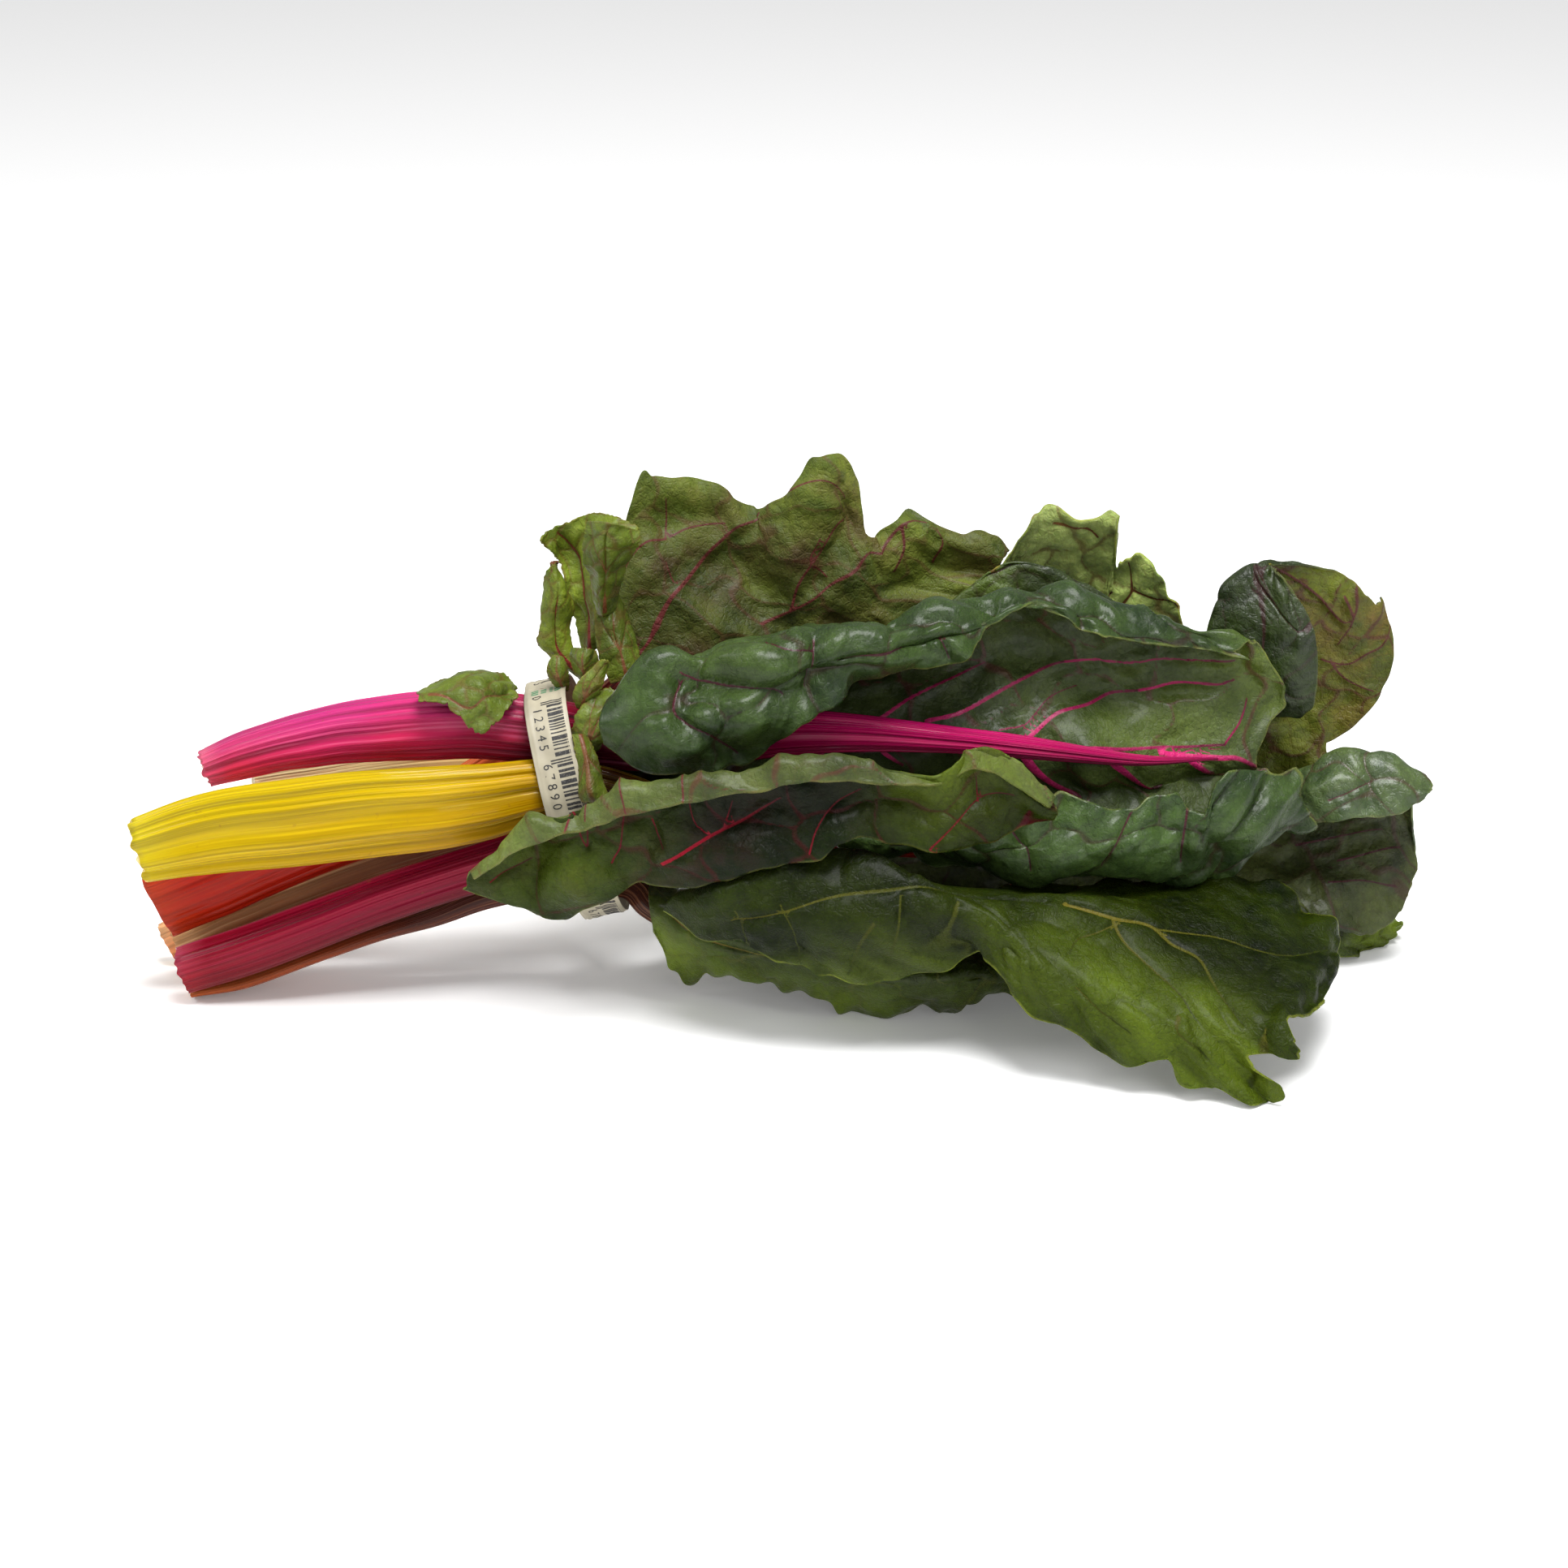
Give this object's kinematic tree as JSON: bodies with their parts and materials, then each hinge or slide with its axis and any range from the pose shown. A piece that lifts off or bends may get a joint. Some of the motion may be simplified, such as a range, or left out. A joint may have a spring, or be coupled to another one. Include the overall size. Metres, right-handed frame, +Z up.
{
  "type": "swiss chard bunch",
  "caption": "Bunch of rainbow Swiss chard lying on its side: ribbed coloured stalks tapering into puckered, folded leaves, held by a flat paper twist tie.",
  "frame": {"origin": "under the centre of the bounding box, on the surface the bunch lies on", "axes": "+X along the bunch from the cut stalk ends to the leaf tips, +Z up, -Y towards the side on which the broad pink midrib shows"},
  "size_m": [0.3186, 0.1531, 0.1243],
  "materials": {
    "pink_stalk": "satin, fresh ribbed stalk",
    "yellow_stalk": "satin, fresh ribbed stalk",
    "magenta_stalk": "satin, fresh ribbed stalk",
    "coral_stalk": "satin, fresh ribbed stalk",
    "tan_stalk": "satin, fresh ribbed stalk",
    "orange_stalk": "satin, fresh ribbed stalk",
    "cream_stalk": "satin, fresh ribbed stalk",
    "rust_stalk": "satin, fresh ribbed stalk",
    "pink_leaf": "waxy, puckered leaf",
    "yellow_leaf": "waxy, puckered leaf",
    "magenta_leaf": "waxy, puckered leaf",
    "coral_leaf": "waxy, puckered leaf",
    "tan_leaf": "waxy, puckered leaf",
    "orange_leaf": "waxy, puckered leaf",
    "cream_leaf": "waxy, puckered leaf",
    "rust_leaf": "waxy, puckered leaf",
    "leaflet": "waxy, puckered leaf",
    "paper_tie": "matte paper over wire"
  },
  "bodies": {
    "root": {"pink_stalk": "pink_stalk", "yellow_stalk": "yellow_stalk", "magenta_stalk": "magenta_stalk", "coral_stalk": "coral_stalk", "tan_stalk": "tan_stalk", "orange_stalk": "orange_stalk", "cream_stalk": "cream_stalk", "rust_stalk": "rust_stalk", "pink_leaf": "pink_leaf", "yellow_leaf": "yellow_leaf", "magenta_leaf": "magenta_leaf", "coral_leaf": "coral_leaf", "tan_leaf": "tan_leaf", "orange_leaf": "orange_leaf", "cream_leaf": "cream_leaf", "rust_leaf": "rust_leaf", "small_leaf": "leaflet", "curly_leaf_front": "leaflet", "curly_leaf_back": "leaflet", "twist_tie": "paper_tie"}
  },
  "joints": []
}
